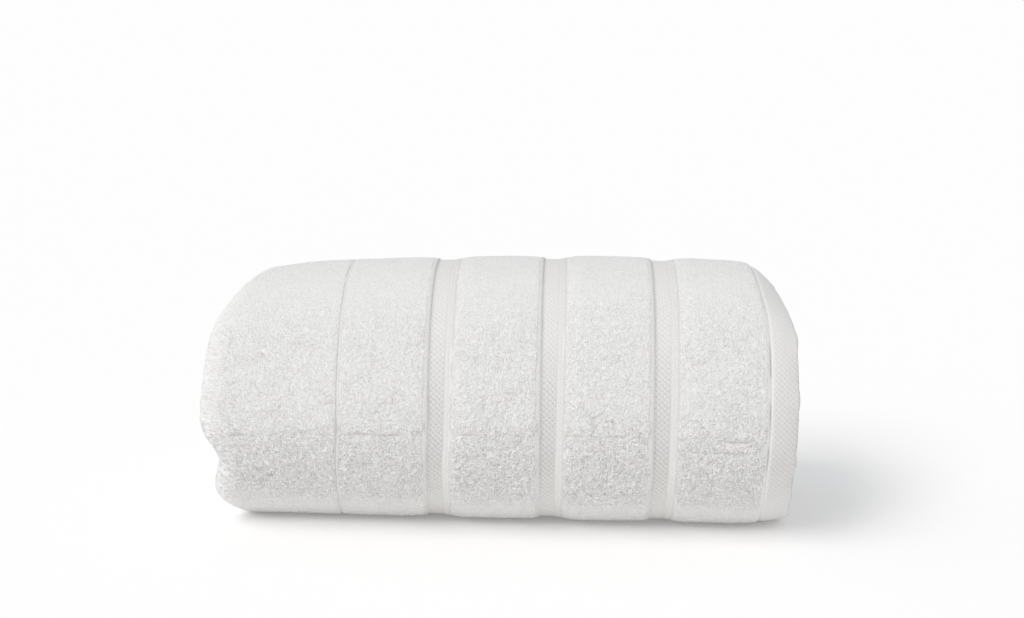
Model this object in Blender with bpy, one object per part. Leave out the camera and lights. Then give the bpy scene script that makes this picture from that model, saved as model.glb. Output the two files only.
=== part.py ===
"""A plush bath towel, folded in four along its length and rolled up across its width.

The roll lies along X with its hems at +X and its folds at -X. Y runs from the front of the roll
to its back, Z is up, and the floor is z = 0. All sizes are in metres.
"""
import math
from collections import namedtuple

import bmesh
import bpy

# The cloth as it is cut
CLOTH_LENGTH = 1.42
CLOTH_WIDTH = 0.76
FOLDED_LAYERS = 4
LAYER_PITCH = 0.0073
ROLL_LENGTH = CLOTH_LENGTH / FOLDED_LAYERS
PACK_THICKNESS = FOLDED_LAYERS * LAYER_PITCH
TURN_GAP = 0.0012

# The wound form: the pack of layers winds in from the cloth's end, which is tucked under the back
CENTRE_HEIGHT = 0.0775
END_DIRECTION = math.radians(-62.9)
SHRINK_PER_TURN = 0.30
CORE_RADIUS = 0.0025
OUTER_STEPS = 36
INNER_STEPS = 26
END_ROUNDING = 0.004
END_SLANT = 0.0253
END_SLANT_REACH = 0.08
MEASURING_STEP = 0.01

# Going round the roll from the cloth's end: along the floor to the front, over the top and down
# the back. angle is in degrees, radius is that of the shape before the winding shrinks it, and
# each end of the roll is drawn in by its shift and sinks towards the centre by its droop. lean
# moves the stripes near the middle along X.
TurnRow = namedtuple("TurnRow", "angle radius left_shift left_droop right_shift right_droop lean")
TURN_ROWS = (
    TurnRow(0, 0.0898, 0.000, 0.000, 0.000, 0.000, 0.000),
    TurnRow(27, 0.0813, 0.000, 0.000, 0.000, 0.000, -0.001),
    TurnRow(52, 0.0917, 0.003, 0.000, 0.001, 0.000, -0.002),
    TurnRow(67, 0.0978, 0.005, 0.000, 0.001, 0.000, -0.001),
    TurnRow(76, 0.1000, 0.007, 0.000, 0.002, 0.000, 0.000),
    TurnRow(87, 0.1016, 0.013, 0.001, 0.002, 0.000, 0.000),
    TurnRow(97, 0.1019, 0.007, 0.000, 0.002, 0.000, 0.000),
    TurnRow(110, 0.1000, 0.001, 0.000, 0.001, 0.000, 0.001),
    TurnRow(135, 0.0985, 0.000, 0.000, 0.003, 0.001, 0.001),
    TurnRow(158, 0.0988, 0.004, 0.001, 0.005, 0.005, 0.001),
    TurnRow(178, 0.0973, 0.013, 0.002, 0.010, 0.010, 0.001),
    TurnRow(200, 0.0959, 0.020, 0.003, 0.010, 0.014, 0.001),
    TurnRow(221, 0.0988, 0.022, 0.003, 0.009, 0.014, 0.001),
    TurnRow(250, 0.1049, 0.016, 0.002, 0.007, 0.010, 0.000),
    TurnRow(279, 0.1087, 0.010, 0.001, 0.004, 0.005, 0.000),
    TurnRow(300, 0.1101, 0.006, 0.000, 0.002, 0.002, 0.000),
    TurnRow(322, 0.1082, 0.003, 0.000, 0.001, 0.000, 0.000),
    TurnRow(343, 0.0992, 0.000, 0.000, 0.000, 0.000, 0.000),
)
LEFT_SHIFT_REACH = 0.085
LEFT_DROOP_REACH = 0.062
RIGHT_SHIFT_REACH = 0.031
RIGHT_DROOP_REACH = 0.032
LEAN_CENTRE = -0.050
LEAN_REACH = 0.110

# How thick the roll is along its length, against its full size
GirthRow = namedtuple("GirthRow", "along girth")
GIRTH_ROWS = (
    GirthRow(-0.178, 0.935),
    GirthRow(-0.150, 0.950),
    GirthRow(-0.118, 0.960),
    GirthRow(-0.059, 0.980),
    GirthRow(0.000, 0.993),
    GirthRow(0.059, 1.000),
    GirthRow(0.118, 0.997),
    GirthRow(0.150, 0.990),
    GirthRow(0.178, 0.982),
)

# The flat-woven stripes between the terry panels, measured from the hem
Stripe = namedtuple("Stripe", "start width depth")
HEM_WIDTH = 0.0186
BANDS = 3
BAND_WIDTH = 0.0123
PANEL_WIDTH = 0.0545
LINE_WIDTH = 0.0018
LINE_PANEL_WIDTH = 0.0520
BAND_DEPTH = 0.0030
LINE_DEPTH = 0.0022
PANEL_CROWN = 0.0010
PANEL_EDGE = 0.0012
HEM_THICKNESS = 0.0035
HEM_STEP_BACK = 0.003
FOLD_STEP_BACK = 0.005
HEM_GROOVE = 0.016
HEM_SLIT = 0.001
FIRST_FOLD_STEPS = 4
SECOND_FOLD_STEPS = 6
SHARP_EDGE = math.radians(40)


def woven_stripes():
    """The three bands and the narrow line, in order from the hem."""
    stripes = []
    edge = HEM_WIDTH
    for _ in range(BANDS):
        stripes.append(Stripe(edge + PANEL_WIDTH, BAND_WIDTH, BAND_DEPTH))
        edge += PANEL_WIDTH + BAND_WIDTH
    stripes.append(Stripe(edge + LINE_PANEL_WIDTH, LINE_WIDTH, LINE_DEPTH))
    return stripes


def smooth_step(share):
    share = min(max(share, 0.0), 1.0)
    return share * share * (3 - 2 * share)


def smooth_value(rows, key, column, at, period=None):
    """The value of one table column at a place, on a smooth curve through the rows."""
    places = [getattr(row, key) for row in rows]
    values = [getattr(row, column) for row in rows]
    if period:
        at %= period
        places = [places[-1] - period] + places + [places[0] + period, places[1] + period]
        values = [values[-1]] + values + [values[0], values[1]]
    at = min(max(at, places[0]), places[-1])
    last = len(places) - 1
    k = max(i for i in range(last) if places[i] <= at)
    before, after = max(k - 1, 0), min(k + 2, last)
    step = places[k + 1] - places[k]
    share = (at - places[k]) / step
    slope_in = (values[k + 1] - values[before]) / (places[k + 1] - places[before]) * step
    slope_out = (values[after] - values[k]) / (places[after] - places[k]) * step
    cube, square = share ** 3, share ** 2
    return (
        (2 * cube - 3 * square + 1) * values[k]
        + (cube - 2 * square + share) * slope_in
        + (3 * square - 2 * cube) * values[k + 1]
        + (cube - square) * slope_out
    )


def panel_points(start, end, start_depth, end_depth):
    """One terry panel of the outer face, from its left edge to its right: (x, depth) points."""
    middle = (start + end) / 2
    return [
        (start, start_depth),
        (start + PANEL_EDGE, PANEL_CROWN),
        (middle, 0.0),
        (end - PANEL_EDGE, PANEL_CROWN),
        (end, end_depth),
    ]


def outer_face():
    """The outer face of the pack, from its folds to its hem."""
    hem_end = ROLL_LENGTH / 2
    points = []
    right_edge, right_depth = hem_end - HEM_WIDTH, BAND_DEPTH
    for stripe in woven_stripes():
        left_edge = hem_end - stripe.start
        points = panel_points(left_edge, right_edge, stripe.depth, right_depth) + points
        right_edge, right_depth = left_edge - stripe.width, stripe.depth
    fold_start = -ROLL_LENGTH / 2 + PACK_THICKNESS / 2
    left_panel = [
        (fold_start, 0.0),
        ((fold_start + right_edge) / 2, 0.0),
        (right_edge - PANEL_EDGE, PANEL_CROWN),
        (right_edge, right_depth),
    ]
    return left_panel + points + [(hem_end, BAND_DEPTH)]


def hem_end_points():
    """The right end of the pack: two hems, one behind the other, and the rounded first fold."""
    end = ROLL_LENGTH / 2
    groove = end - HEM_GROOVE
    second_hem = BAND_DEPTH + LAYER_PITCH - HEM_SLIT / 2
    fold_top, fold_bottom = 2 * LAYER_PITCH + HEM_SLIT / 2, PACK_THICKNESS - TURN_GAP
    fold_radius = (fold_bottom - fold_top) / 2
    points = [
        (end, BAND_DEPTH + HEM_THICKNESS),
        (groove, LAYER_PITCH - HEM_SLIT / 2),
        (groove, LAYER_PITCH + HEM_SLIT / 2),
        (end - HEM_STEP_BACK, second_hem),
        (end - HEM_STEP_BACK, second_hem + HEM_THICKNESS),
        (groove, 2 * LAYER_PITCH - HEM_SLIT / 2),
    ]
    for step in range(FIRST_FOLD_STEPS + 1):
        turn = math.pi * step / FIRST_FOLD_STEPS
        points.append((
            end - FOLD_STEP_BACK - fold_radius * (1 - math.sin(turn)),
            fold_top + fold_radius * (1 - math.cos(turn)),
        ))
    return points


def fold_end_points():
    """The left end of the pack: the rounded second fold, from the inner face to the outer."""
    end, radius = -ROLL_LENGTH / 2, (PACK_THICKNESS - TURN_GAP) / 2
    points = []
    for step in range(SECOND_FOLD_STEPS + 1):
        turn = math.pi * step / SECOND_FOLD_STEPS
        points.append((end + radius * (1 - math.sin(turn)), radius * (1 + math.cos(turn))))
    return points[:-1]


def pack_section():
    """The closed outline of the folded pack as (x, depth) points, depth running inwards."""
    inner = [(side * ROLL_LENGTH / 6, PACK_THICKNESS - TURN_GAP) for side in (1, -1)]
    return outer_face() + hem_end_points() + inner + fold_end_points()


def end_pull(x, angle):
    """How far the ends of the roll move a point along X, and the share by which they sink it."""
    from_left, from_right = x + ROLL_LENGTH / 2, ROLL_LENGTH / 2 - x
    radius = smooth_value(TURN_ROWS, "angle", "radius", angle, 360)
    shift = droop = 0.0
    if from_left < LEFT_SHIFT_REACH:
        near = smooth_step(1 - from_left / LEFT_SHIFT_REACH)
        shift = near * smooth_value(TURN_ROWS, "angle", "left_shift", angle, 360)
        near = smooth_step(1 - from_left / LEFT_DROOP_REACH)
        droop = near * smooth_value(TURN_ROWS, "angle", "left_droop", angle, 360)
    elif from_right < RIGHT_SHIFT_REACH:
        near = smooth_step(1 - from_right / RIGHT_SHIFT_REACH)
        shift = -near * smooth_value(TURN_ROWS, "angle", "right_shift", angle, 360)
        near = smooth_step(1 - from_right / RIGHT_DROOP_REACH)
        droop = near * smooth_value(TURN_ROWS, "angle", "right_droop", angle, 360)
    near = smooth_step(1 - abs(x - LEAN_CENTRE) / LEAN_REACH)
    shift += near * smooth_value(TURN_ROWS, "angle", "lean", angle, 360)
    return shift, droop / radius


def wound_point(turn, x, depth):
    """Where a point of the pack lies once it is wound: turn counts from the cloth's end."""
    share = depth / PACK_THICKNESS
    turn -= END_SLANT * share * smooth_step(1 - turn / END_SLANT_REACH)
    angle = 360 * (turn % 1)
    shape = smooth_value(TURN_ROWS, "angle", "radius", angle, 360)
    shift, sink = end_pull(x, angle)
    outer = shape * (1 - SHRINK_PER_TURN * turn)
    radius = outer - share * min(SHRINK_PER_TURN * shape, outer - CORE_RADIUS)
    radius *= 1 - sink
    direction = END_DIRECTION - 2 * math.pi * turn
    girth = smooth_value(GIRTH_ROWS, "along", "girth", x)
    y = girth * radius * math.cos(direction)
    z = girth * (CENTRE_HEIGHT + radius * math.sin(direction))
    return x + shift, y, max(z, 0.0)


def wound_turns():
    """How many turns use up the width of the cloth, measured half way through the pack."""
    turn = used = 0.0
    here = wound_point(turn, 0.0, PACK_THICKNESS / 2)
    while used < CLOTH_WIDTH:
        turn += MEASURING_STEP
        before, here = here, wound_point(turn, 0.0, PACK_THICKNESS / 2)
        used += math.dist(before, here)
    return turn


def winding_rings(section):
    """The section at each step of the winding, its thickness rounded off at both ends."""
    middle = (PACK_THICKNESS - TURN_GAP) / 2
    outer = [step / OUTER_STEPS for step in range(OUTER_STEPS + 2)]
    left_over = wound_turns() - outer[-1]
    inner_count = round(left_over * INNER_STEPS)
    turns = outer + [outer[-1] + left_over * (k + 1) / inner_count for k in range(inner_count)]
    rounding = END_ROUNDING / (2 * math.pi * CENTRE_HEIGHT)
    thin = 1 - 2 * END_ROUNDING / PACK_THICKNESS
    stations = [(turns[0] - rounding, thin)] + [(turn, 1.0) for turn in turns]
    stations.append((turns[-1] + rounding, thin))
    for turn, share in stations:
        yield [wound_point(turn, x, middle + (depth - middle) * share) for x, depth in section]


def terry_material():
    material = bpy.data.materials.new("white_terry")
    material.use_nodes = True
    shader = material.node_tree.nodes["Principled BSDF"]
    shader.inputs["Base Color"].default_value = (0.86, 0.85, 0.83, 1)
    shader.inputs["Roughness"].default_value = 0.92
    shader.inputs["Metallic"].default_value = 0.0
    return material


def towel_mesh():
    form = bmesh.new()
    rings = [[form.verts.new(p) for p in ring] for ring in winding_rings(pack_section())]
    count = len(rings[0])
    for ring, following in zip(rings, rings[1:]):
        for k in range(count):
            after = (k + 1) % count
            form.faces.new((ring[k], ring[after], following[after], following[k]))
    form.faces.new(reversed(rings[0]))
    form.faces.new(rings[-1])
    bmesh.ops.recalc_face_normals(form, faces=form.faces)
    ys = [corner.co.y for corner in form.verts]
    bmesh.ops.translate(form, verts=form.verts, vec=(0, -(min(ys) + max(ys)) / 2, 0))
    mesh = bpy.data.meshes.new("towel")
    form.to_mesh(mesh)
    form.free()
    return mesh


def main():
    for old in list(bpy.data.objects):
        bpy.data.objects.remove(old, do_unlink=True)
    towel = bpy.data.objects.new("towel", towel_mesh())
    towel.data.materials.append(terry_material())
    towel.data.shade_smooth()
    towel.data.set_sharp_from_angle(angle=SHARP_EDGE)
    bpy.context.scene.collection.objects.link(towel)


main()
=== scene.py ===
import math

import bmesh
import bpy
import numpy as np
from mathutils import Matrix, Vector


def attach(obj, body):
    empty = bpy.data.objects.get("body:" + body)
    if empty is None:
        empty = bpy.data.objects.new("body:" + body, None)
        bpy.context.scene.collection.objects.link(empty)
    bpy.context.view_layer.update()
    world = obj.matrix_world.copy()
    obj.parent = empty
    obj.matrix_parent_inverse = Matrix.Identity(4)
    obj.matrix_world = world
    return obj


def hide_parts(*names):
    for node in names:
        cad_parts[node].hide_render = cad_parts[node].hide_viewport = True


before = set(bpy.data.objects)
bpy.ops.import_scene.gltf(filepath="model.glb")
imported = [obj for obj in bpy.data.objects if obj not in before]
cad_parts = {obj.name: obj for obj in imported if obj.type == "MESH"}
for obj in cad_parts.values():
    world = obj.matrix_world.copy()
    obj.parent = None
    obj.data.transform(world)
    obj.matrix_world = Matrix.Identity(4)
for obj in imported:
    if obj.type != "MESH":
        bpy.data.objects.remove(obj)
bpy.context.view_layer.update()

mm = 0.001

# the wound form, with the sizes of the solid; its two ends follow the photograph a little closer

roll = {
    "length": 0.355,
    "clothWidth": 0.76,
    "clothLength": 1.42,
    "layers": 4,
    "layerPitch": 7.3 * mm,
    "turnGap": 1.2 * mm,
    "centreHeight": 0.0775,
    "centreBack": 0.0038,      # the roll's middle sits this far behind its centre line
    "endDirection": -62.9,
    "shrinkPerTurn": 0.30,
    "coreRadius": 2.5 * mm,
    "turns": 2.63,
    "endSlant": 0.0253,
    "endSlantReach": 0.08,
    "leftShiftReach": 0.085,
    "leftDroopReach": 0.062,
    "rightShiftReach": 0.045,
    "rightDroopReach": 0.024,
    "leanCentre": -0.050,
    "leanReach": 0.110,
}

# going round from the cloth's end: under the front, over the top and down the back, in degrees and mm
turnTable = {
    "angle": [0, 27, 52, 67, 76, 87, 97, 110, 135, 158, 178, 200, 221, 250, 279, 300, 322, 343],
    "radius": [89.8, 81.3, 91.7, 97.8, 100, 101.6, 101.9, 100, 98.5, 98.8, 97.3, 95.9, 98.8, 104.9,
               108.7, 110.1, 108.2, 99.2],
    "leftShift": [0, 0, 15, 8, 4, 7, 9, 0, 0, 3, 10, 16, 19, 15, 10, 6, 3, 0],
    "leftDroop": [0, 0, 0, 0, 0, 1, 0, 0, 0, 1, 2, 3, 3, 2, 1, 0, 0, 0],
    "rightShift": [0, 0, 1, 1, 2, 2, 2, 1, 1, 2, 6, 8, 8, 6, 4, 2, 1, 0],
    "rightDroop": [0, 0, 0, 0, 0, 0, 0, 0, 1, 4, 9, 11.5, 11.5, 9, 5, 2, 0, 0],
    "lean": [0, -1, -2, -1, 0, 0, 0, 1, 1, 1, 1, 1, 1, 0, 0, 0, 0, 0],
}
girthTable = {
    "along": [-178, -150, -118, -59, 0, 59, 118, 150, 178],
    "girth": [0.935, 0.950, 0.960, 0.980, 0.993, 1.000, 0.997, 0.990, 0.982],
}

packThickness = roll["layers"] * roll["layerPitch"]
packInside = packThickness - roll["turnGap"]
halfLength = roll["length"] / 2
measuringSteps = 4000


def smoothCurve(places, values, at):
    # a smooth curve through the values, read at many places at once
    k = np.clip(np.searchsorted(places, at, "right") - 1, 0, len(places) - 2)
    before, after = np.maximum(k - 1, 0), np.minimum(k + 2, len(places) - 1)
    step = places[k + 1] - places[k]
    share = (np.clip(at, places[0], places[-1]) - places[k]) / step
    slopeIn = (values[k + 1] - values[before]) / (places[k + 1] - places[before]) * step
    slopeOut = (values[after] - values[k]) / (places[after] - places[k]) * step
    cube, square = share ** 3, share ** 2
    return ((2 * cube - 3 * square + 1) * values[k] + (cube - 2 * square + share) * slopeIn
            + (3 * square - 2 * cube) * values[k + 1] + (cube - square) * slopeOut)


def roundTheRoll(column, angle):
    places = np.array(turnTable["angle"], float)
    values = np.array(turnTable[column], float) * mm
    places = np.concatenate([[places[-1] - 360], places, [360 + places[0], 360 + places[1]]])
    values = np.concatenate([values[-1:], values, values[:2]])
    return smoothCurve(places, values, angle % 360)


def alongTheRoll(x):
    places = np.array(girthTable["along"], float) * mm
    return smoothCurve(places, np.array(girthTable["girth"]), x)


def smoothStep(share):
    share = np.clip(share, 0, 1)
    return share * share * (3 - 2 * share)


def wound(turn, x, depth):
    # the folded pack's point (x, depth) after winding: turn counts from the cloth's end
    turn, x, depth = np.broadcast_arrays(*(np.asarray(v, float) for v in (turn, x, depth)))
    share = depth / packThickness
    turn = turn - roll["endSlant"] * share * smoothStep(1 - turn / roll["endSlantReach"])
    angle = 360 * (turn % 1)
    shape = roundTheRoll("radius", angle)
    leftNear = smoothStep(1 - (x + halfLength) / roll["leftShiftReach"])
    rightNear = smoothStep(1 - (halfLength - x) / roll["rightShiftReach"])
    leanNear = smoothStep(1 - abs(x - roll["leanCentre"]) / roll["leanReach"])
    shift = (leftNear * roundTheRoll("leftShift", angle) - rightNear * roundTheRoll("rightShift", angle)
             + leanNear * roundTheRoll("lean", angle))
    leftNear = smoothStep(1 - (x + halfLength) / roll["leftDroopReach"])
    rightNear = np.clip(1 - (halfLength - x) / roll["rightDroopReach"], 0, 1) ** 2
    droop = leftNear * roundTheRoll("leftDroop", angle) + rightNear * roundTheRoll("rightDroop", angle)
    outer = shape * (1 - roll["shrinkPerTurn"] * turn)
    radius = outer - share * np.minimum(roll["shrinkPerTurn"] * shape, outer - roll["coreRadius"])
    radius = radius * (1 - droop / shape)
    direction = math.radians(roll["endDirection"]) - 2 * math.pi * turn
    girth = alongTheRoll(x)
    y = girth * radius * np.cos(direction) + roll["centreBack"]
    z = girth * (roll["centreHeight"] + radius * np.sin(direction))
    return np.stack([x + shift, y, np.maximum(z, 0)], -1)


def outerLengths(lastTurn):
    # how much cloth is wound at each turn, measured on its outer face
    turns = np.linspace(0, lastTurn, measuringSteps)
    points = wound(turns, 0, 0)
    steps = np.linalg.norm(np.diff(points, axis=0), axis=1)
    return turns, np.concatenate([[0], np.cumsum(steps)])


turnScale, lengthScale = outerLengths(roll["turns"])


def turnAt(length):
    return np.interp(length, lengthScale, turnScale)


def lengthAt(turn):
    return np.interp(turn, turnScale, lengthScale)


# noise and meshes

chanceCells = 256   # the tables of chance repeat after so many cells


def noise(x, y, seed):
    # smooth noise from -1 to 1 with one bump a unit
    table = np.random.default_rng(seed).uniform(-1, 1, (chanceCells, chanceCells))
    column, row = np.floor(x).astype(int), np.floor(y).astype(int)
    across, down = smoothStep(x - column), smoothStep(y - row)

    def corner(i, j):
        return table[(column + i) % chanceCells, (row + j) % chanceCells]

    near = corner(0, 0) * (1 - across) + corner(1, 0) * across
    far = corner(0, 1) * (1 - across) + corner(1, 1) * across
    return near * (1 - down) + far * down


def fourCorners(index):
    return np.stack([index[:-1, :-1], index[:-1, 1:], index[1:, 1:], index[1:, :-1]], -1)


def gridMesh(name, points, clothMap, masks, squareMap=None):
    # a mesh from rows of points; clothMap is each point's place on the cloth in metres. A ring of
    # columns is closed, and its squareMap, which fills one square, has a last column more
    rows, columns = points.shape[:2]
    index = np.arange(rows * columns).reshape(rows, columns)
    if squareMap is None:
        low, high = clothMap.reshape(-1, 2).min(0), clothMap.reshape(-1, 2).max(0)
        squareMap = (clothMap - low) / (high - low)
    else:
        index = np.concatenate([index, index[:, :1]], 1)
        clothMap = np.concatenate([clothMap, clothMap[:, :1]], 1)
    corners = fourCorners(index).reshape(-1)
    mesh = bpy.data.meshes.new(name)
    mesh.vertices.add(rows * columns)
    mesh.vertices.foreach_set("co", points.reshape(-1).astype(np.float32))
    mesh.loops.add(corners.size)
    mesh.loops.foreach_set("vertex_index", corners.astype(np.int32))
    mesh.polygons.add(corners.size // 4)
    mesh.polygons.foreach_set("loop_start", np.arange(0, corners.size, 4, dtype=np.int32))
    mesh.update(calc_edges=True)
    places = fourCorners(np.arange(index.size).reshape(index.shape)).reshape(-1)
    for layerName, values in (("clothMap", clothMap), ("OFBake", squareMap)):
        layer = mesh.uv_layers.new(name=layerName)
        layer.uv.foreach_set("vector", values.reshape(-1, 2)[places].reshape(-1).astype(np.float32))
    for mask, values in masks.items():
        attribute = mesh.attributes.new(mask, "FLOAT", "POINT")
        values = np.broadcast_to(values, (rows, columns)).reshape(-1)
        attribute.data.foreach_set("value", values.astype(np.float32))
    mesh.shade_smooth()
    piece = bpy.data.objects.new(name, mesh)
    bpy.context.scene.collection.objects.link(piece)
    return piece


# materials

def newGroup(name, inputs, outputs):
    group = bpy.data.node_groups.new(name, "ShaderNodeTree")
    for socketName, kind, value in inputs:
        socket = group.interface.new_socket(socketName, in_out="INPUT", socket_type=kind)
        if value is not None:
            socket.default_value = value
    for socketName, kind in outputs:
        group.interface.new_socket(socketName, in_out="OUTPUT", socket_type=kind)
    return group, group.nodes.new("NodeGroupInput"), group.nodes.new("NodeGroupOutput")


def mathNode(tree, operation, first, second=None):
    node = tree.nodes.new("ShaderNodeMath")
    node.operation = operation
    for socket, value in zip(node.inputs, (first, second)):
        if isinstance(value, (int, float)):
            socket.default_value = value
        elif value is not None:
            tree.links.new(value, socket)
    return node.outputs[0]


# painted shade between the fibres: how soft it is, where it starts and how strong
yarnLook = {
    "smoothness": 0.3,
    "middle": 0.4,      # the distance from a fibre where the colour stays as it is
    "strength": 0.7,
}


def yarnGroup():
    # fine fuzz of the cotton yarn as a height, and painted shade in the colour: darker away from each fibre's
    # middle, and where the mask asks for shade
    group, start, end = newGroup(
        "yarnFuzzAndShade",
        [("Vector", "NodeSocketVector", None), ("Fibre Size", "NodeSocketFloat", 0.0005),
         ("Colour", "NodeSocketColor", (0.9, 0.9, 0.9, 1)), ("Shade", "NodeSocketColor", (0.8, 0.8, 0.8, 1)),
         ("Painted Light", "NodeSocketFloat", 1.0)],
        [("Colour", "NodeSocketColor"), ("Height", "NodeSocketFloat")])
    scale = mathNode(group, "DIVIDE", 1.0, start.outputs["Fibre Size"])
    fibre = group.nodes.new("ShaderNodeTexVoronoi")
    fibre.feature = "SMOOTH_F1"
    fibre.inputs["Smoothness"].default_value = yarnLook["smoothness"]
    group.links.new(start.outputs["Vector"], fibre.inputs["Vector"])
    group.links.new(scale, fibre.inputs["Scale"])
    deep = mathNode(group, "SUBTRACT", 1.0, start.outputs["Painted Light"])
    between = mathNode(group, "SUBTRACT", fibre.outputs["Distance"], yarnLook["middle"])
    amount = mathNode(group, "ADD", deep, mathNode(group, "MULTIPLY", between, yarnLook["strength"]))
    mix = group.nodes.new("ShaderNodeMix")
    mix.data_type = "RGBA"
    mix.clamp_factor = True
    group.links.new(amount, mix.inputs["Factor"])
    # 6, 7 and 2 are the node's sockets for colours
    group.links.new(start.outputs["Colour"], mix.inputs[6])
    group.links.new(start.outputs["Shade"], mix.inputs[7])
    group.links.new(mix.outputs[2], end.inputs["Colour"])
    group.links.new(mathNode(group, "SUBTRACT", 1.0, fibre.outputs["Distance"]), end.inputs["Height"])
    return group


weaving = {
    "Ridge Pitch": 3.45 * mm,
    "Thread Pitch": 0.8 * mm,
    "Slope": 1.0,
    "Ridges": 0.85,
    "Cross Ridges": 0.5,
    "Threads": 0.35,
}
hollowStart, hollowGain = 0.1, 0.8      # painted shade in the weave's hollows: below which height it darkens, and how fast


def weaveGroup():
    # flat weave: diagonal ridges with weaker ones across them, read from the cloth's own map, and painted
    # shade in the hollows between them
    inputs = [("Cloth Map", "NodeSocketVector", None)]
    inputs += [(name, "NodeSocketFloat", value) for name, value in weaving.items()]
    group, start, end = newGroup("flatWeave", inputs,
                                 [("Height", "NodeSocketFloat"), ("Hollow Shade", "NodeSocketFloat")])
    split = group.nodes.new("ShaderNodeSeparateXYZ")
    group.links.new(start.outputs["Cloth Map"], split.inputs[0])
    around, across = split.outputs[0], split.outputs[1]
    slope = mathNode(group, "MULTIPLY", across, start.outputs["Slope"])
    ridges = []
    for lean, strength in (("ADD", "Ridges"), ("SUBTRACT", "Cross Ridges")):
        leaning = mathNode(group, lean, around, slope)
        slanted = mathNode(group, "DIVIDE", leaning, start.outputs["Ridge Pitch"])
        wave = mathNode(group, "SINE", mathNode(group, "MULTIPLY", slanted, math.tau))
        ridges.append(mathNode(group, "MULTIPLY", wave, start.outputs[strength]))
    ridge = mathNode(group, "ADD", *ridges)
    threads = mathNode(group, "DIVIDE", across, start.outputs["Thread Pitch"])
    thread = mathNode(group, "SINE", mathNode(group, "MULTIPLY", threads, math.tau))
    thread = mathNode(group, "MULTIPLY", thread, start.outputs["Threads"])
    height = mathNode(group, "MULTIPLY", mathNode(group, "ADD", ridge, thread), 0.5)
    group.links.new(mathNode(group, "ADD", height, 0.5), end.inputs["Height"])
    paintedShade = mathNode(group, "MULTIPLY", mathNode(group, "SUBTRACT", hollowStart, height), hollowGain)
    clamp = group.nodes.new("ShaderNodeClamp")
    group.links.new(paintedShade, clamp.inputs[0])
    group.links.new(clamp.outputs[0], end.inputs["Hollow Shade"])
    return group


# the cotton's own colours; the Shade colours are painted shade, mixed in where the masks darken
cotton = {
    "terry": (0.915, 0.909, 0.902, 1),
    "terryShade": (0.700, 0.680, 0.650, 1),
    "terryFibre": 0.7 * mm,
    "terryRoughness": 0.9,
    "terrySheen": 0.15,
    "terrySheenRoughness": 0.6,
    "terrySpecular": 0.2,
    "fuzzBump": 0.85,
    "fuzzDepth": 0.3 * mm,
    "weave": (0.840, 0.826, 0.813, 1),
    "weaveShade": (0.600, 0.578, 0.555, 1),
    "weaveFibre": 0.5 * mm,
    "weaveRoughness": 0.75,
    "weaveSheen": 0.1,
    "weaveSheenRoughness": 0.5,
    "weaveSpecular": 0.3,
    "weaveBump": 0.7,
    "weaveDepth": 0.5 * mm,
}


def cottonMaterial(name, kind):
    material = bpy.data.materials.new(name)
    material.use_nodes = True
    shader = material.node_tree.nodes["Principled BSDF"]
    shader.inputs["Roughness"].default_value = cotton[kind + "Roughness"]
    shader.inputs["Sheen Weight"].default_value = cotton[kind + "Sheen"]
    shader.inputs["Sheen Roughness"].default_value = cotton[kind + "SheenRoughness"]
    shader.inputs["Specular IOR Level"].default_value = cotton[kind + "Specular"]
    return material, material.node_tree, shader


def maskNode(tree, name):
    node = tree.nodes.new("ShaderNodeAttribute")
    node.attribute_name = name
    return node.outputs["Fac"]


def yarnNode(tree, fuzzAndShade, kind):
    place = tree.nodes.new("ShaderNodeTexCoord")
    node = tree.nodes.new("ShaderNodeGroup")
    node.node_tree = fuzzAndShade
    node.inputs["Fibre Size"].default_value = cotton[kind + "Fibre"]
    node.inputs["Colour"].default_value = cotton[kind]
    node.inputs["Shade"].default_value = cotton[kind + "Shade"]
    tree.links.new(place.outputs["Object"], node.inputs["Vector"])
    return node


def addBump(tree, shader, height, strength, distance):
    bump = tree.nodes.new("ShaderNodeBump")
    bump.inputs["Strength"].default_value = strength
    bump.inputs["Distance"].default_value = distance
    tree.links.new(height, bump.inputs["Height"])
    tree.links.new(bump.outputs["Normal"], shader.inputs["Normal"])


def terryMaterial(fuzzAndShade):
    material, tree, shader = cottonMaterial("whiteTerry", "terry")
    yarn = yarnNode(tree, fuzzAndShade, "terry")
    # painted shade: the tuft mask darkens the pile's hollows, gaps, crease, walls and smooth places
    tree.links.new(maskNode(tree, "tuft"), yarn.inputs["Painted Light"])
    tree.links.new(yarn.outputs["Colour"], shader.inputs["Base Color"])
    addBump(tree, shader, yarn.outputs["Height"], cotton["fuzzBump"], cotton["fuzzDepth"])
    return material


def weaveMaterial(fuzzAndShade, weave):
    material, tree, shader = cottonMaterial("whiteWeave", "weave")
    place = tree.nodes.new("ShaderNodeUVMap")
    place.uv_map = "clothMap"
    pattern = tree.nodes.new("ShaderNodeGroup")
    pattern.node_tree = weave
    tree.links.new(place.outputs["UV"], pattern.inputs["Cloth Map"])
    # painted shade: the cloth's tuft mask, less the painted shade in the weave's hollows
    woven = maskNode(tree, "woven")
    paintedShade = mathNode(tree, "MULTIPLY", pattern.outputs["Hollow Shade"], woven)
    height = mathNode(tree, "MULTIPLY", pattern.outputs["Height"], woven)
    yarn = yarnNode(tree, fuzzAndShade, "weave")
    tree.links.new(mathNode(tree, "SUBTRACT", maskNode(tree, "tuft"), paintedShade), yarn.inputs["Painted Light"])
    tree.links.new(yarn.outputs["Colour"], shader.inputs["Base Color"])
    addBump(tree, shader, height, cotton["weaveBump"], cotton["weaveDepth"])
    return material


fuzzAndShade = yarnGroup()
terry = terryMaterial(fuzzAndShade)
flatWeave = weaveMaterial(fuzzAndShade, weaveGroup())
print("materials made")

# where the stripes lie, from the hem

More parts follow.
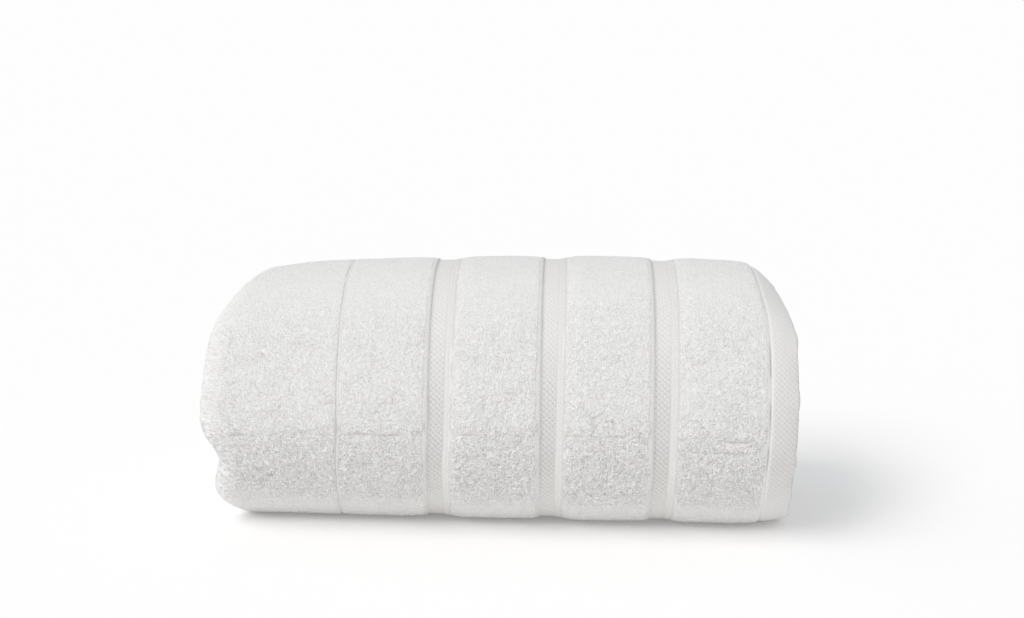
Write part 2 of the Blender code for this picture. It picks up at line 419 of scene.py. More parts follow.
stripes = {
    "hemWidth": 18.6 * mm,
    "bands": 3,
    "bandWidth": 12.3 * mm,
    "panelWidth": 54.5 * mm,
    "lineWidth": 1.8 * mm,
    "linePanelWidth": 52.0 * mm,
    "bandDepth": 3.0 * mm,
    "lineDepth": 1.4 * mm,
    "lineGap": 0.7 * mm,
    "underPile": 1.9 * mm,      # how deep the cloth lies under the pile's tops
    "stripStart": 2.9 * mm,     # the smooth strip along each band's right edge rises to the panel
    "stripWidth": 2.4 * mm,
    "stripRise": 0.6 * mm,
    "easeWidth": 1.4 * mm,      # and the floor eases down from the left edge
    "easeRise": 0.6 * mm,
    "seamDepth": 1.0 * mm,      # the gathered seam between hem and terry
    "hemRise": 0.5 * mm,        # the hem stands up beside its seam, over these shares of its width
    "hemRiseStart": 0.04,
    "hemRiseWidth": 0.12,
    "hemFall": 3.2 * mm,        # and rounds down to its edge
    "hemThickness": 3.9 * mm,
}


def stripeEdges():
    # (left, right) of each band, then of the narrow line, along X
    edges = []
    edge = halfLength - stripes["hemWidth"]
    for _ in range(stripes["bands"]):
        right = edge - stripes["panelWidth"]
        edge = right - stripes["bandWidth"]
        edges.append((edge, right))
    right = edge - stripes["linePanelWidth"]
    edges.append((right - stripes["lineWidth"], right))
    return edges


stripePlaces = stripeEdges()
bandPlaces, linePlace = stripePlaces[:-1], stripePlaces[-1]
hemInner = halfLength - stripes["hemWidth"]
foldCentre = -halfLength + packThickness / 2

# the folded cloth, one thick closed sheet wound up with all its layers

cloth = {
    "bandStep": 0.55 * mm,      # the columns across a band, the hem, a panel and the inner layers
    "hemStep": 1.2 * mm,
    "panelStep": 6.0 * mm,
    "insideStep": 40 * mm,
    "roundStep": 4.0 * mm,      # the rows round the roll
    "sharpEdge": 0.01 * mm,     # points this far apart make a sharp edge
    "layerGap": 0.6 * mm,
    "foldSteps": 14,            # round the outer fold, the wide inner ones, the middle one and the tight ones
    "wideFoldSteps": 10,
    "middleFoldSteps": 8,
    "tightFoldSteps": 4,
    "foldInset": 5 * mm,        # how far the inner folds and the second hem stay back from the right end
    "secondHemInset": 3 * mm,
    "innerHemWidth": 15 * mm,
    "innerHemRun": 16 * mm,
    "hemRound": 0.8 * mm,
    "hemBackRound": 0.6 * mm,
    "hemFrontRound": 0.4 * mm,
    # the second hem's two faces, in layers: out to its edge, then back from it
    "secondHemOuter": (2, 1.93, 1.88),
    "secondHemInner": (1.45, 1.4, 1.3),
    "mapShare": 0.94,           # the square map's part that the sheet takes
    "endMapPlaces": (0.95, 0.975),      # and where in it the two cut ends lie
    "endMapWidth": 0.02,
}


def bandDepths(x):
    # how deep the woven face lies at x, below the pile's tops
    depth = np.full_like(x, stripes["underPile"])
    for left, right in bandPlaces:
        inside = (x >= left) & (x <= right)
        strip = smoothStep((x - right + stripes["stripStart"]) / stripes["stripWidth"])
        ease = 1 - smoothStep((x - left) / stripes["easeWidth"])
        floor = stripes["bandDepth"] - stripes["stripRise"] * strip - stripes["easeRise"] * ease
        depth = np.where(inside, floor, depth)
    depth = np.where((x >= linePlace[0]) & (x <= linePlace[1]), stripes["lineDepth"], depth)
    share = (x - hemInner) / stripes["hemWidth"]
    seam = 1 - smoothStep((share - stripes["hemRiseStart"]) / stripes["hemRiseWidth"])
    hem = (stripes["bandDepth"] - stripes["hemRise"] + (stripes["seamDepth"] + stripes["hemRise"]) * seam
           + stripes["hemFall"] * share ** 2)
    return np.where(x >= hemInner, hem, depth)


def stations(start, end, step):
    return np.linspace(start, end, max(2, round(abs(end - start) / step) + 1))[:-1]


def clothOutline():
    # the closed outline of the folded layers as rows of (x, depth, is woven)
    layer = packInside / roll["layers"]
    gap = cloth["layerGap"] / 2
    rightFold = halfLength - cloth["foldInset"] - layer + gap
    secondHem = halfLength - cloth["secondHemInset"]
    hemRound, hemWidth, inside = cloth["hemRound"], cloth["innerHemWidth"], cloth["insideStep"]
    parts = []

    def run(x, depth, woven=0.0):
        x = np.atleast_1d(np.asarray(x, float))
        parts.append(np.stack([x, np.broadcast_to(depth, x.shape), np.broadcast_to(woven, x.shape)], -1))

    def arc(centreX, centreDepth, radius, start, end, steps):
        turn = np.linspace(start, end, steps + 1)[:-1]
        run(centreX - radius * np.sin(turn), centreDepth - radius * np.cos(turn))

    # outer face, from the hem to the folds
    x = stations(halfLength - hemRound, hemInner, cloth["hemStep"])
    run(x, bandDepths(x), 1.0)
    edge = hemInner
    for left, right in bandPlaces:
        run(stations(edge, right, cloth["panelStep"]), stripes["underPile"])
        x = stations(right - cloth["sharpEdge"], left + cloth["sharpEdge"], cloth["bandStep"])
        run(x, bandDepths(x), 1.0)
        run(left, stripes["bandDepth"] - stripes["easeRise"], 1.0)
        edge = left - 2 * cloth["sharpEdge"]
    run(stations(edge, linePlace[1], cloth["panelStep"]), stripes["underPile"])
    lineEdges = [linePlace[1] - cloth["sharpEdge"], linePlace[0] + cloth["sharpEdge"]]
    run(lineEdges, stripes["lineDepth"], 1.0)
    run(stations(linePlace[0], foldCentre, cloth["panelStep"]), stripes["underPile"])
    middle = packInside / 2
    arc(foldCentre, middle, middle - stripes["underPile"], 0, math.pi, cloth["foldSteps"])
    # back along the inner layers, each fold in turn
    innerFace = packInside - stripes["underPile"] / 2
    run(stations(foldCentre, rightFold, inside), innerFace)
    lower = packInside - layer
    arc(rightFold, lower, innerFace - lower, math.pi, 2 * math.pi, cloth["wideFoldSteps"])
    run(stations(rightFold, foldCentre, inside), 2 * layer + gap)
    arc(foldCentre, middle, 3 * gap, math.pi, 0, cloth["tightFoldSteps"])
    run(stations(foldCentre, secondHem - cloth["innerHemRun"], inside), 2 * layer - gap)
    hemX = [secondHem - hemWidth, secondHem - hemRound, secondHem]
    run(hemX, np.array(cloth["secondHemOuter"]) * layer - gap, 1.0)
    run(hemX[::-1], np.array(cloth["secondHemInner"]) * layer, 1.0)
    run(stations(secondHem - cloth["innerHemRun"], foldCentre, inside), layer + gap)
    arc(foldCentre, middle, middle - layer - gap, 0, math.pi, cloth["middleFoldSteps"])
    run(stations(foldCentre, rightFold, inside), 3 * layer - gap)
    arc(rightFold, lower, gap, 0, -math.pi, cloth["tightFoldSteps"])
    run(stations(rightFold, foldCentre, inside), 3 * layer + gap)
    arc(foldCentre, middle, middle - layer + gap, math.pi, 0, cloth["wideFoldSteps"])
    run(stations(foldCentre, halfLength - cloth["innerHemRun"], inside), layer - gap)
    hemBack = stripes["bandDepth"] + stripes["hemThickness"]
    hemX = [halfLength - hemWidth, halfLength - hemRound, halfLength]
    run(hemX, [layer - gap, hemBack, hemBack - cloth["hemBackRound"]], 1.0)
    run(halfLength, bandDepths(np.array([halfLength])) + cloth["hemFrontRound"], 1.0)
    return np.concatenate(parts)


gather = {
    "gripLevel": 0.6,           # how hard the hem's seam grips, and how unevenly
    "gripSpread": 0.8,
    "gripLeast": 0.2,
    "gripStep": 9 * mm,
    "gripFrom": (92, 14),       # it grips hardest from and to these degrees, with a soft start and end
    "gripTo": (190, 30),
    "seamReach": 3 * mm,
    "pucker": 0.25 * mm,
    "puckerAround": 10 * mm,
    "puckerAcross": 12 * mm,
    "edgeWave": 0.9 * mm,
    "edgeReach": 6 * mm,
    "edgeStep": 14 * mm,
}


def gathered(x, depth, woven, rows):
    # the hem puckers a little, its edge waves, and its seam grips hardest over the front
    length = lengthAt(rows)
    degrees = 360 * rows
    grip = gather["gripLevel"] + gather["gripSpread"] * noise(length / gather["gripStep"], length * 0, 51)
    (start, startWidth), (end, endWidth) = gather["gripFrom"], gather["gripTo"]
    front = smoothStep((degrees - start) / startWidth) * smoothStep((end - degrees) / endWidth)
    least = gather["gripLeast"]
    grip = np.clip(grip, least, 1) * (least + (1 - least) * front)
    outer = (woven > 0) & (depth < stripes["bandDepth"] + stripes["hemFall"])
    around, across = np.meshgrid(length, x, indexing="ij")
    pucker = noise(around / gather["puckerAround"], across / gather["puckerAcross"], 52)
    nearSeam = (x >= hemInner) * (1 - smoothStep((x - hemInner) / gather["seamReach"]))
    lift = stripes["seamDepth"] * (1 - grip)[:, None] * nearSeam
    nearEdge = smoothStep((x - halfLength + gather["edgeReach"]) / gather["edgeReach"])
    wave = gather["edgeWave"] * noise(around / gather["edgeStep"], around * 0, 53) * nearEdge
    return x + outer * wave, depth + outer * (gather["pucker"] * pucker - lift), grip


ridgesAndShade = {
    # round the roll, in degrees: how far the weave's ridges stand open, with painted shade in their hollows,
    # and how much painted shade darkens a band, most on the lower front where less light falls
    "angle": [0, 40, 75, 88, 100, 110, 120, 130, 150, 165, 360],
    "ridges": [0.6, 0.6, 0.6, 0.8, 1.0, 1.0, 1.0, 0.9, 0.55, 0.4, 0.6],
    "paintedShade": [0, 0, 0.14, 0.29, 0.38, 0.20, 0.15, 0.08, 0, 0, 0],
    "hemRidges": 0.6,
    "hemPlain": 2.5 * mm,       # beside the hem's seam there are no ridges
    "leftEdge": 0.95,           # the colour mask along a band's two edges, and the last in the seam, all painted shade: under the pile's wall at the left edge, dimming the lit smooth strip at the right, and in the hem's seam where it grips
    "leftEdgeWidth": 0.5 * mm,
    "strip": 0.7,
    "seamShade": 0.9,
    "seamWidth": 1.3 * mm,
    "slack": 0.1 * mm,
}


def clothShadeAndRidges(x, woven, rows, grip):
    # the colour mask, which is painted shade, and where the weave's ridges show
    slack = ridgesAndShade["slack"]
    inBand = np.zeros_like(x)
    paintedLight = np.ones_like(x)
    for left, right in bandPlaces:
        inBand = np.maximum(inBand, (x > left) & (x < right - stripes["stripStart"]))
    for left, right in stripePlaces:
        paintedLight = np.where((x > left - slack) & (x < left + ridgesAndShade["leftEdgeWidth"]), ridgesAndShade["leftEdge"], paintedLight)
        paintedLight = np.where((x > right - stripes["stripStart"]) & (x <= right), ridgesAndShade["strip"], paintedLight)
    onHem = woven * (x > hemInner + ridgesAndShade["hemPlain"])
    paintedShade = np.interp(360 * rows, ridgesAndShade["angle"], ridgesAndShade["paintedShade"])[:, None]
    paintedLight = paintedLight - (woven > 0) * np.maximum(inBand, onHem) * paintedShade
    bySeam = (x > hemInner - slack) & (x < hemInner + ridgesAndShade["seamWidth"]) & (woven > 0)
    paintedLight = np.where(bySeam[None], 1 - ridgesAndShade["seamShade"] * grip[:, None], paintedLight)
    ridges = np.interp(360 * rows, ridgesAndShade["angle"], ridgesAndShade["ridges"])[:, None]
    return paintedLight, np.maximum(inBand, ridgesAndShade["hemRidges"] * onHem) * ridges


def wovenCloth():
    outline = clothOutline()
    length = lengthAt(roll["turns"])
    rows = turnAt(np.linspace(0, length, round(length / cloth["roundStep"])))
    x, depth, woven = outline.T
    clothX, clothDepth, grip = gathered(x, depth, woven, rows)
    points = wound(rows[:, None], clothX, clothDepth)
    ring = np.append(outline[:, :2], outline[:1, :2], 0)
    girth = np.concatenate([[0], np.cumsum(np.linalg.norm(np.diff(ring, axis=0), axis=1))])
    around = cloth["mapShare"] * lengthAt(rows) / length
    squareMap = np.stack(np.meshgrid(girth / girth[-1], around)[::-1], -1)
    clothMap = np.stack(np.broadcast_arrays(lengthAt(rows)[:, None], x[None]), -1)
    paintedLight, ridges = clothShadeAndRidges(x, woven, rows, grip)
    piece = gridMesh("towelCloth", points, clothMap, {"tuft": paintedLight, "woven": ridges}, squareMap)
    piece.data.materials.append(terry)
    piece.data.materials.append(flatWeave)
    between = np.minimum(woven, np.roll(woven, -1)) > 0
    piece.data.polygons.foreach_set("material_index", np.tile(between, len(rows) - 1).astype(np.int32))
    closeEnds(piece, len(rows), x, depth)
    return piece


def closeEnds(piece, rows, x, depth):
    # the cloth's two cut ends, the selvedges of all the layers
    form = bmesh.new()
    form.from_mesh(piece.data)
    form.verts.ensure_lookup_table()
    squareMap = form.loops.layers.uv["OFBake"]
    flatX = (x + halfLength) / roll["length"]
    flatDepth = cloth["endMapWidth"] * depth / packInside
    order = list(range(len(x)))
    ends = ((0, order[::-1]), ((rows - 1) * len(x), order))
    for mapPlace, (start, around) in zip(cloth["endMapPlaces"], ends):
        face = form.faces.new([form.verts[start + k] for k in around])
        for loop, k in zip(face.loops, around):
            loop[squareMap].uv = (mapPlace + flatDepth[k], flatX[k])
            loop.edge.smooth = False
    bmesh.ops.triangulate(form, faces=[face for face in form.faces if len(face.verts) > 4])
    bmesh.ops.recalc_face_normals(form, faces=form.faces)
    form.to_mesh(piece.data)
    form.free()


towelCloth = wovenCloth()
print("cloth wound:", len(towelCloth.data.polygons), "faces")

# the pile: tufts of loops over every terry panel

pile = {
    "tuftSize": 1.0 * mm,
    "tuftStretch": 1.05,
    "height": 1.5 * mm,
    "plainLevel": 0.55,         # the height where there are no loops, beside the tufts' tops
    "loopMiddle": 0.5,
    "tuftSpread": 0.25,         # how unlike the tufts are in height
    "tuftReach": 0.95,          # a tuft's dome, in tuft sizes, and the gap to the next one
    "tuftGap": 0.25,
    "tuftFoot": 0.3,
    "tuftJoin": 0.35,
    "frontStep": 0.54 * mm,     # the rows round the roll
    "backStep": 0.95 * mm,
    "underStep": 1.50 * mm,
    "insideStep": 1.40 * mm,
    "jitter": 0.12 * mm,
    "jitterSize": 0.7 * mm,
    "jitterEnd": 2.2 * mm,
    "ragEase": 5 * mm,          # a panel's ragged edge, with a finer fray
    "rag": 0.4 * mm,
    "ragSize": 5 * mm,
    "fray": 0.3 * mm,
    "fraySize": 1.6 * mm,
    "ragShift": 0.2 * mm,
    "clumpSize": 4.4 * mm,
    "clumpStretch": 1.4,
    "clumpBend": 1.5 * mm,
    "bendSize": 6 * mm,
    "clumpDepth": 0.30 * mm,
    "clumpGap": 0.11,
    "clumpPatches": (0.15, 1.3, 7 * mm),        # how many show, how unevenly, and over what length
    "furrowBend": 3 * mm,
    "furrowLength": 0.018,
    "furrowSize": 8.0 * mm,
    "furrowDepth": 0.35 * mm,
    "furrowWidth": 0.07,
    "furrowPatches": (0.1, 1.4, 12 * mm),
    "swell": 0.15 * mm,
    "swellSize": 10 * mm,
    "crown": 0.8 * mm,
    "floor": 0.1 * mm,          # the crease stays this far above the cloth
    "firstTurn": 0.004,
    "underEnds": 0.125,         # the pile is pressed flat up to this turn
    "pressed": 0.8,
    "backStarts": 0.62,
    "lastTurn": 0.985,
}


def pileRows(lastTurn):
    # rows round the roll: wide under it, fine in front, wider behind
    lengths = [lengthAt(pile["firstTurn"])]
    end = lengthAt(lastTurn)
    while lengths[-1] < end:
        turn = turnAt(lengths[-1])
        step = pile["frontStep"]
        if turn < pile["underEnds"]:
            step = pile["underStep"]
        elif turn > 1:
            step = pile["insideStep"]
        elif turn > pile["backStarts"]:
            step = pile["backStep"]
        lengths.append(lengths[-1] + step)
    return np.array(lengths)


strewing = {
    "cells": 256,       # the chances repeat after this many cells
    "margin": 0.2,      # a tuft's middle keeps off its cell's sides
    "room": 0.6,
    "far": 9.0,
}


def strewn(a, w, size, stretch, seed):
    # tufts strewn about: how near the nearest and the next one is, and the nearest one's own chance
    cells, margin, room = strewing["cells"], strewing["margin"], strewing["room"]
    table = np.random.default_rng(seed).uniform(0, 1, (cells, cells, 4))
    u, v = a / size, w / size
    column, row = np.floor(u).astype(int), np.floor(v).astype(int)
    nearest, second = np.full(u.shape, strewing["far"]), np.full(u.shape, strewing["far"])
    own = np.zeros(u.shape)
    for i in (-1, 0, 1):
        for j in (-1, 0, 1):
            tuft = table[(column + i) % cells, (row + j) % cells]
            across = u - (column + i + margin + room * tuft[..., 0])
            around = v - (row + j + margin + room * tuft[..., 1])
            cos, sin = np.cos(math.pi * tuft[..., 2]), np.sin(math.pi * tuft[..., 2])
            far = np.hypot((across * cos + around * sin) / stretch, (around * cos - across * sin) * stretch)
            closer = far < nearest
            second = np.where(closer, nearest, np.minimum(second, far))
            own = np.where(closer, tuft[..., 3], own)
            nearest = np.minimum(nearest, far)
    return nearest, second, own


def patchy(a, w, patches, seed):
    level, spread, size = patches
    return np.clip(level + spread * noise(a / size, w / size, seed), 0, 1)


def dent(away, width):
    return np.exp(-(away / width) ** 2)


creases = {
    # the soft crease along the front of the roll, and the short second one by the hem
    "place": 110.0,
    "secondPlace": 105.3,
    "degree": 1.59 * mm,
    "depth": 1.3 * mm,
    "width": 0.8 * mm,
    "secondWidth": 0.7 * mm,
    "wander": 0.5,
    "wanderSize": 30 * mm,
    "shake": 0.25,
    "shakeSize": 6 * mm,
    "patches": (0.35, 1.3, 0.009),
    "secondStart": 112 * mm,
    "secondEase": 8 * mm,
    "secondSize": 8 * mm,
    "secondLevel": 0.5,
    "secondLeast": 0.1,
    "fold": 0.5,                # the soft fold that stands up above it
    "foldAbove": 4.5 * mm,
    "foldWidth": 3.5 * mm,
}


def creaseHeights(x, turn):
    wander = creases["wander"] * noise(x / creases["wanderSize"], turn * 0, 31)
    wave = wander + creases["shake"] * noise(x / creases["shakeSize"], turn * 0, 32)
    above = (360 * turn - creases["place"] - wave) * creases["degree"]
    second = (360 * turn - creases["secondPlace"] - wave) * creases["degree"]
    broken = patchy(x, turn * 0, creases["patches"], 33)
    uneven = creases["secondLevel"] + noise(x / creases["secondSize"], turn * 0, 34)
    byHem = smoothStep((x - creases["secondStart"]) / creases["secondEase"])
    byHem = byHem * np.clip(uneven, creases["secondLeast"], 1)
    return creases["depth"] * (creases["fold"] * dent(above - creases["foldAbove"], creases["foldWidth"])
                               - broken * dent(above, creases["width"])
                               - byHem * dent(second, creases["secondWidth"]))


def jittered(a, w, along, ragged):
    # the grid's points moved about a little, but not at a panel's two edges
    free = smoothStep((a - along[0]) / mm) * smoothStep((along[-1] - a - pile["jitterEnd"]) / mm)
    size = pile["jitterSize"]
    a = a + pile["jitter"] * noise(a / size, w / size, 17) * free
    w = w + pile["jitter"] * noise(a / size, w / size, 18) * free
    if ragged:
        rag = pile["rag"] * noise(w / pile["ragSize"], w * 0, 43)
        rag = rag + pile["fray"] * noise(w / pile["fraySize"], w * 0, 44) - pile["ragShift"]
        a = a - smoothStep((a - along[-1]) / pile["ragEase"] + 1) * rag
    return a, w


def tuftLoops(a, w):
    # a rounded loop for every tuft, no two alike in height
    nearest, second, own = strewn(a, w, pile["tuftSize"], pile["tuftStretch"], 21)
    apart = 1 - dent(second - nearest, pile["tuftGap"])
    dome = np.sqrt(np.clip(1 - (nearest / pile["tuftReach"]) ** 2, 0, 1))
    loop = (pile["tuftFoot"] + (1 - pile["tuftFoot"]) * dome) * (1 - pile["tuftSpread"] * own)
    return loop * (pile["tuftJoin"] + (1 - pile["tuftJoin"]) * apart)


def clumpGaps(a, w):
    # clumps of tufts lean together, with narrow broken gaps and slanted furrows between them
    bendA, bendW = [noise(a / pile["bendSize"], w / pile["bendSize"], seed) for seed in (11, 12)]
    clumpA, clumpW = a + pile["clumpBend"] * bendA, w + pile["clumpBend"] * bendW
    nearest, second, _ = strewn(clumpA, clumpW, pile["clumpSize"], pile["clumpStretch"], 22)
    gap = dent(second - nearest, pile["clumpGap"]) * patchy(a, w, pile["clumpPatches"], 14)
    along = (w + a + pile["furrowBend"] * bendA) / pile["furrowLength"]
    slanted = noise(along, (w - a + pile["furrowBend"] * bendW) / pile["furrowSize"], 13)
    return gap, dent(slanted, pile["furrowWidth"]) * patchy(a, w, pile["furrowPatches"], 15)


front = {
    # round the roll, in degrees: where the clumps and furrows show, and where the loops stand up; these also
    # set how strong the pile's painted shade is
    "busyMost": 1.1,
    "busyMiddle": 118,
    "busyWidth": 55,
    "busyLeast": 0.2,
    "lively": 0.96,
    "livelyFalls": ((0.30, 100, 24), (0.28, 150, 30), (0.50, 86, -13)),     # fall, start and width
}

paintedPileShade = {
    # painted shade in the colour mask: a loop is lighter the higher it stands, and the gaps, furrows, crease,
    # falling edges and smooth places are darker
    "loopStart": 0.25,
    "gaps": 0.6,
    "crease": 0.9,
    "slope": 0.7,
    "slopeStart": 1.0 * mm,
    "slopeWidth": 0.5 * mm,
    "slopeInset": 4 * mm,
    "plain": (0.1, 0.25),
}


def pilePiece(name, along, sectionAt, edgeHeights, lengths, ragged=False):
    # along holds the columns' places on the section; sectionAt gives (x, depth, outward x, outward depth)
    a, w = np.meshgrid(along, lengths)
    a, w = jittered(a, w, along, ragged)
    turn = turnAt(w)
    degrees = 360 * turn
    x, depth, outX, outDepth = sectionAt(a)
    busy = front["busyMost"] - abs(degrees - front["busyMiddle"]) / front["busyWidth"]
    busy = np.clip(busy, front["busyLeast"], 1)
    lively = front["lively"]
    for fall, start, width in front["livelyFalls"]:
        lively = lively - fall * smoothStep((degrees - start) / width)
    gap, furrow = clumpGaps(a, w)
    edge, loops = edgeHeights(a, w)
    loop = pile["plainLevel"] + (tuftLoops(a, w) - pile["loopMiddle"]) * lively
    height = pile["height"] * (pile["plainLevel"] * (1 - loops) + loops * loop)
    height = height + edge - busy * loops * (pile["clumpDepth"] * gap + pile["furrowDepth"] * furrow)
    height = height + pile["swell"] * noise(a / pile["swellSize"], w / pile["swellSize"], 16) * loops
    # the crease's floor stays just above the cloth
    crease = creaseHeights(x, turn) * loops
    height = height + np.maximum(crease, pile["floor"] - np.maximum(height, pile["floor"]))
    pressed = np.minimum(height, pile["height"] * pile["pressed"])
    height = np.where(turn < pile["underEnds"] * pile["pressed"], pressed, height)
    height[[0, -1]] = 0  # the pile's first and last rows come down onto the cloth
    points = wound(turn, x + outX * height, depth + outDepth * height)
    # painted shade: low loops, gaps and furrows, the crease, falling edges, walls and cords are darkened in
    # the colour
    shade = paintedPileShade["loopStart"] + loop - paintedPileShade["gaps"] * busy * (gap + furrow)
    shade = shade - paintedPileShade["crease"] * np.clip(-crease / creases["depth"], 0, 1)
    slope = smoothStep((-edge - paintedPileShade["slopeStart"]) / paintedPileShade["slopeWidth"])
    shade = shade - paintedPileShade["slope"] * slope * (a > along[0] + paintedPileShade["slopeInset"])
    shade = np.where(loops < 0.5, np.clip(shade, *paintedPileShade["plain"]), shade)
    piece = gridMesh(name, points, np.stack([w, a], -1), {"tuft": np.clip(shade, 0, 1)})
    piece.data.materials.append(terry)
    return piece


edging = {
    # where a panel's pile begins at its left, and the slope there
    "loopStart": 1.4 * mm,
    "loopEase": 1.6 * mm,
    "slope": 1.55 * mm,
    "slopeStart": 4 * mm,
    "slopeWidth": 16 * mm,
    "plainSlope": 0.1 * mm,
    "plainWidth": 3 * mm,
    # the beaded cord along its right edge, and the groove beside it
    "cordWidth": 2.0 * mm,
    "cordMiddle": 1.0 * mm,
    "cordRound": 0.15 * mm,
    "bead": 0.10 * mm,
    "beadLength": 1.9 * mm,
    "groovePlace": 2.3 * mm,
    "grooveWidth": 0.36 * mm,
    "grooveDepth": 2.0 * mm,
    "grooveShare": 0.35,
    "grooveFrom": (88, 16),
    "grooveTo": (165, 30),
    "grooveLevel": 0.75,
    "grooveLeast": 0.2,
    "grooveSize": 4 * mm,
    # a right edge without a cord
    "looseFall": 0.5 * mm,
    "looseWidth": 0.7 * mm,
    "looseSpread": 0.4 * mm,
    "looseSize": 3.5 * mm,
    # the outermost columns go down into the cloth
    "wallDepth": 2.2 * mm,
    "wallLoops": 0.6,
    "cordColumnsWidth": 2.7 * mm,
    "cordColumns": 8,
}


def flatSection(a):
    return a, np.full_like(a, stripes["underPile"]), np.zeros_like(a), -np.ones_like(a)


def grooveDepths(w):
    # the groove beside the cord is deepest over the front
    degrees = 360 * turnAt(w)
    (start, startWidth), (end, endWidth) = edging["grooveFrom"], edging["grooveTo"]
    opening = smoothStep((degrees - start) / startWidth) * smoothStep((end - degrees) / endWidth)
    share = edging["grooveShare"]
    uneven = edging["grooveLevel"] + noise(w / edging["grooveSize"], w * 0, 41)
    return edging["grooveDepth"] * (share + (1 - share) * opening) * np.clip(uneven, edging["grooveLeast"], 1)


def panelEdges(left, right, cord=True, strip=True):
    # the panel's crown, its soft left edge, and the thin beaded cord along its right edge
    def heights(a, w):
        fromLeft, fromRight = a - left, right - a
        share = (a - left) / (right - left)
        crown = -pile["crown"] * np.clip(2 * share - 1, 0, 1) ** 3
        loops = np.ones_like(a)
        if strip:
            loops = smoothStep((fromLeft - edging["loopStart"]) / edging["loopEase"])
            level = smoothStep((fromLeft + edging["slopeStart"]) / edging["slopeWidth"])
            crown = crown - edging["slope"] * (1 - level)
        else:
            crown = crown - edging["plainSlope"] * (1 - smoothStep(fromLeft / edging["plainWidth"]))
        if cord:
            onCord = fromRight < edging["cordWidth"]
            groove = dent(fromRight - edging["groovePlace"], edging["grooveWidth"])
            bead = edging["bead"] * np.sin(w / edging["beadLength"] * math.tau)
            middle = edging["cordMiddle"]
            rounding = edging["cordRound"] * ((fromRight - middle) / middle) ** 2
            loops = np.where(onCord, 0.0, loops)
            crown = np.where(onCord, crown + bead - rounding, crown) - grooveDepths(w) * groove
        else:
            width = edging["looseWidth"] + edging["looseSpread"] * noise(w / edging["looseSize"], w * 0, 42)
            crown = crown - edging["looseFall"] * (1 - smoothStep(fromRight / width))
        wall = np.zeros(a.shape, bool)
        wall[:, [0, -1]] = True
        wallHeight = -edging["wallDepth"] - pile["height"] * pile["plainLevel"]
        wallLoops = np.where((fromLeft < fromRight) & (not strip), edging["wallLoops"], 0.0)
        return np.where(wall, wallHeight, crown), np.where(wall, wallLoops, loops)
    return heights


frontRows = pileRows(pile["lastTurn"])
lineMiddle = (linePlace[0] + linePlace[1]) / 2
terryPieces = []


def panelColumns(left, right, cord):
    # finer columns over the cord
    fineWidth = edging["cordColumnsWidth"] if cord else 0
    wide = np.linspace(left, right - fineWidth, round((right - left - fineWidth) / pile["frontStep"]) + 1)
    count = edging["cordColumns"]
    fine = right - fineWidth + np.arange(1, count + 1) / count * fineWidth
    return np.concatenate([wide, fine]) if cord else wide


def terryPanel(name, left, right, cord=True, strip=True):
    columns, edges = panelColumns(left, right, cord), panelEdges(left, right, cord, strip)
    terryPieces.append(pilePiece(name, columns, flatSection, edges, frontRows, ragged=not cord))


terryPanel("terryByHem", bandPlaces[0][1], hemInner, cord=False)
terryPanel("terryRight", bandPlaces[1][1], bandPlaces[0][0])
terryPanel("terryMiddle", bandPlaces[2][1], bandPlaces[1][0])
terryPanel("terryLeft", lineMiddle + stripes["lineGap"] / 2, bandPlaces[2][0], strip=False)
print("terry panels:", [len(piece.data.polygons) for piece in terryPieces])

# the left end: the last panel, then the rounded fold that shows at every turn

roundEnd = {
    "radius": packInside / 2 - stripes["underPile"],
    "edgeFall": 0.35 * mm,
    "edgeWidth": 2.5 * mm,
    "wallDepth": 1.8 * mm,
    "wallWidth": 0.1 * mm,
    "panelEnd": 0.3 * mm,
    "foldColumns": 36,
    "foldStep": 1.05,
    "turnsLeft": 0.01,
}


def foldSection(a):
    # a runs left from the narrow line, then round the fold and a little way back
    radius = roundEnd["radius"]
    flat = a <= 0
    angle = np.clip(a / radius, 0, math.pi)
    beyond = np.clip(a - math.pi * radius, 0, None)
    x = np.where(flat, foldCentre - a, foldCentre - radius * np.sin(angle) + beyond)
    depth = np.where(flat, stripes["underPile"], packInside / 2 - radius * np.cos(angle))
    outX = np.where(flat, 0, -np.sin(angle))
    outDepth = np.where(flat, -1, -np.cos(angle))
    return x, depth, outX, outDepth


foldStart = foldCentre - lineMiddle + stripes["lineGap"] / 2  # the flat part's length, as a negative place


def endPanelEdges(a, w):
    fromLine = a - foldStart
    wall = fromLine < roundEnd["wallWidth"]
    crown = -roundEnd["edgeFall"] * (1 - smoothStep(fromLine / roundEnd["edgeWidth"]))
    return np.where(wall, -roundEnd["wallDepth"], crown), np.where(wall, edging["wallLoops"], 1.0)


def foldEdges(a, w):
    return np.zeros_like(a), np.ones_like(a)


def mirrored(piece):
    piece.data.flip_normals()
    return piece


endColumns = np.append(np.arange(foldStart, -roundEnd["panelEnd"], pile["frontStep"]), 0)
foldColumns = np.arange(roundEnd["foldColumns"]) * roundEnd["foldStep"] * mm
allRows = pileRows(roll["turns"] - roundEnd["turnsLeft"])
terryPieces.append(mirrored(pilePiece("terryEnd", endColumns, foldSection, endPanelEdges, frontRows)))
terryPieces.append(mirrored(pilePiece("terryFold", foldColumns, foldSection, foldEdges, allRows)))
print("left end:", [len(piece.data.polygons) for piece in terryPieces[-2:]])

# what each piece is

for piece in [towelCloth] + terryPieces:
    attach(piece, "root")
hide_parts("towel")

# floor, light and camera

studio = {
    "floorSize": 60.0,
    "floorDrop": 0.2 * mm,
    "floorColour": (0.945, 0.935, 0.93, 1),
    "floorGlow": 0.11,
    "floorRoughness": 0.8,
    "worldColour": (0.955, 0.978, 1.0, 1),
    "lampColour": (1.0, 0.985, 0.965),
    "worldStrength": 0.643,
    "keyFrom": (-0.80, -0.95, 1.0),
    "keySpread": 24.0,
    "keyStrength": 0.713,
    "fillFrom": (-0.65, -0.30, 1.0),
    "fillSpread": 28.0,
    "fillStrength": 0.662,
}


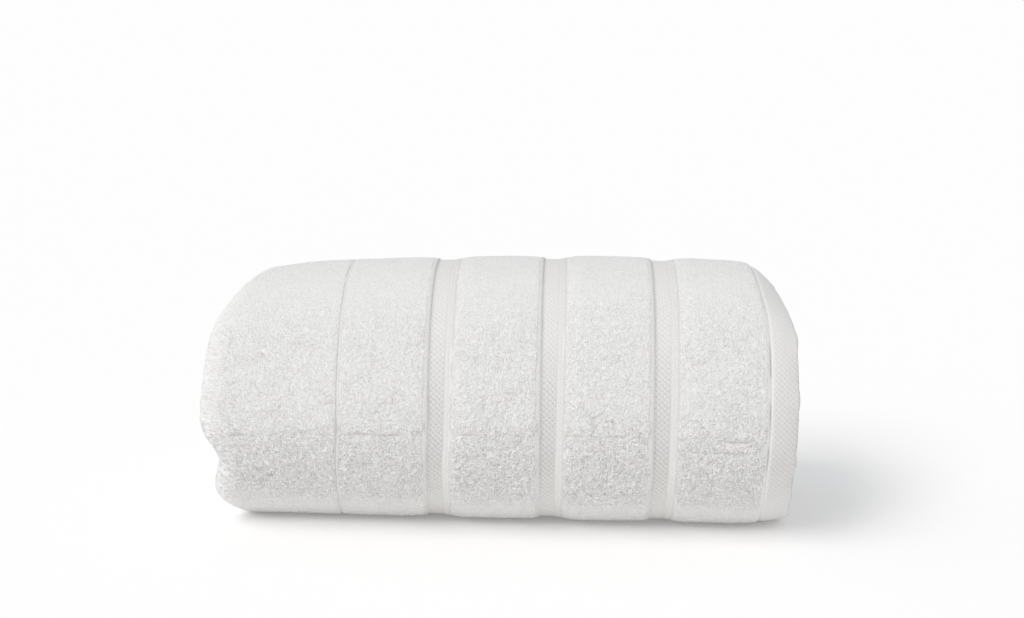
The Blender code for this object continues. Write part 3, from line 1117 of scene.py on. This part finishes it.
def makeFloor():
    size = studio["floorSize"] / 2
    mesh = bpy.data.meshes.new("floor")
    corners = [(-size, -size, 0), (size, -size, 0), (size, size, 0), (-size, size, 0)]
    mesh.from_pydata(corners, [], [(0, 1, 2, 3)])
    floor = bpy.data.objects.new("floor", mesh)
    floor.location.z = -studio["floorDrop"]
    bpy.context.scene.collection.objects.link(floor)
    material = bpy.data.materials.new("paleFloor")
    material.use_nodes = True
    shader = material.node_tree.nodes["Principled BSDF"]
    shader.inputs["Base Color"].default_value = studio["floorColour"]
    shader.inputs["Roughness"].default_value = studio["floorRoughness"]
    shader.inputs["Specular IOR Level"].default_value = 0.0
    shader.inputs["Emission Color"].default_value = (1, 1, 1, 1)
    shader.inputs["Emission Strength"].default_value = studio["floorGlow"]
    mesh.materials.append(material)


def farLamp(name, source, spread, strength):
    light = bpy.data.lights.new(name, "SUN")
    light.energy = strength
    light.color = studio["lampColour"]
    light.angle = math.radians(spread)
    holder = bpy.data.objects.new(name, light)
    holder.rotation_euler = Vector(source).to_track_quat("Z", "Y").to_euler()
    bpy.context.scene.collection.objects.link(holder)


makeFloor()
farLamp("key", studio["keyFrom"], studio["keySpread"], studio["keyStrength"])
farLamp("fill", studio["fillFrom"], studio["fillSpread"], studio["fillStrength"])

world = bpy.data.worlds.new("studio")
world.use_nodes = True
world.node_tree.nodes["Background"].inputs["Color"].default_value = studio["worldColour"]
world.node_tree.nodes["Background"].inputs["Strength"].default_value = studio["worldStrength"]
bpy.context.scene.world = world

view = {
    "lens": 61.9,
    "sensor": 36,
    "distance": 1.10,
    "elevation": 12.0,
    "yaw": 1.5,
    "roll": 0.8,
    "aim": (0.006, 0.0, 0.1243),
}


def makeCamera():
    camera = bpy.data.cameras.new("camera")
    camera.lens = view["lens"]
    camera.sensor_width = view["sensor"]
    holder = bpy.data.objects.new("camera", camera)
    up, side = math.radians(view["elevation"]), math.radians(view["yaw"])
    back = Vector((math.sin(side) * math.cos(up), -math.cos(side) * math.cos(up), math.sin(up)))
    turned = back.to_track_quat("Z", "Y").to_matrix().to_4x4()
    place = Matrix.Translation(Vector(view["aim"]) + view["distance"] * back)
    holder.matrix_world = place @ turned @ Matrix.Rotation(math.radians(view["roll"]), 4, "Z")
    bpy.context.scene.collection.objects.link(holder)
    bpy.context.scene.camera = holder


makeCamera()
bpy.context.scene.view_settings.view_transform = "Standard"
print("studio set")
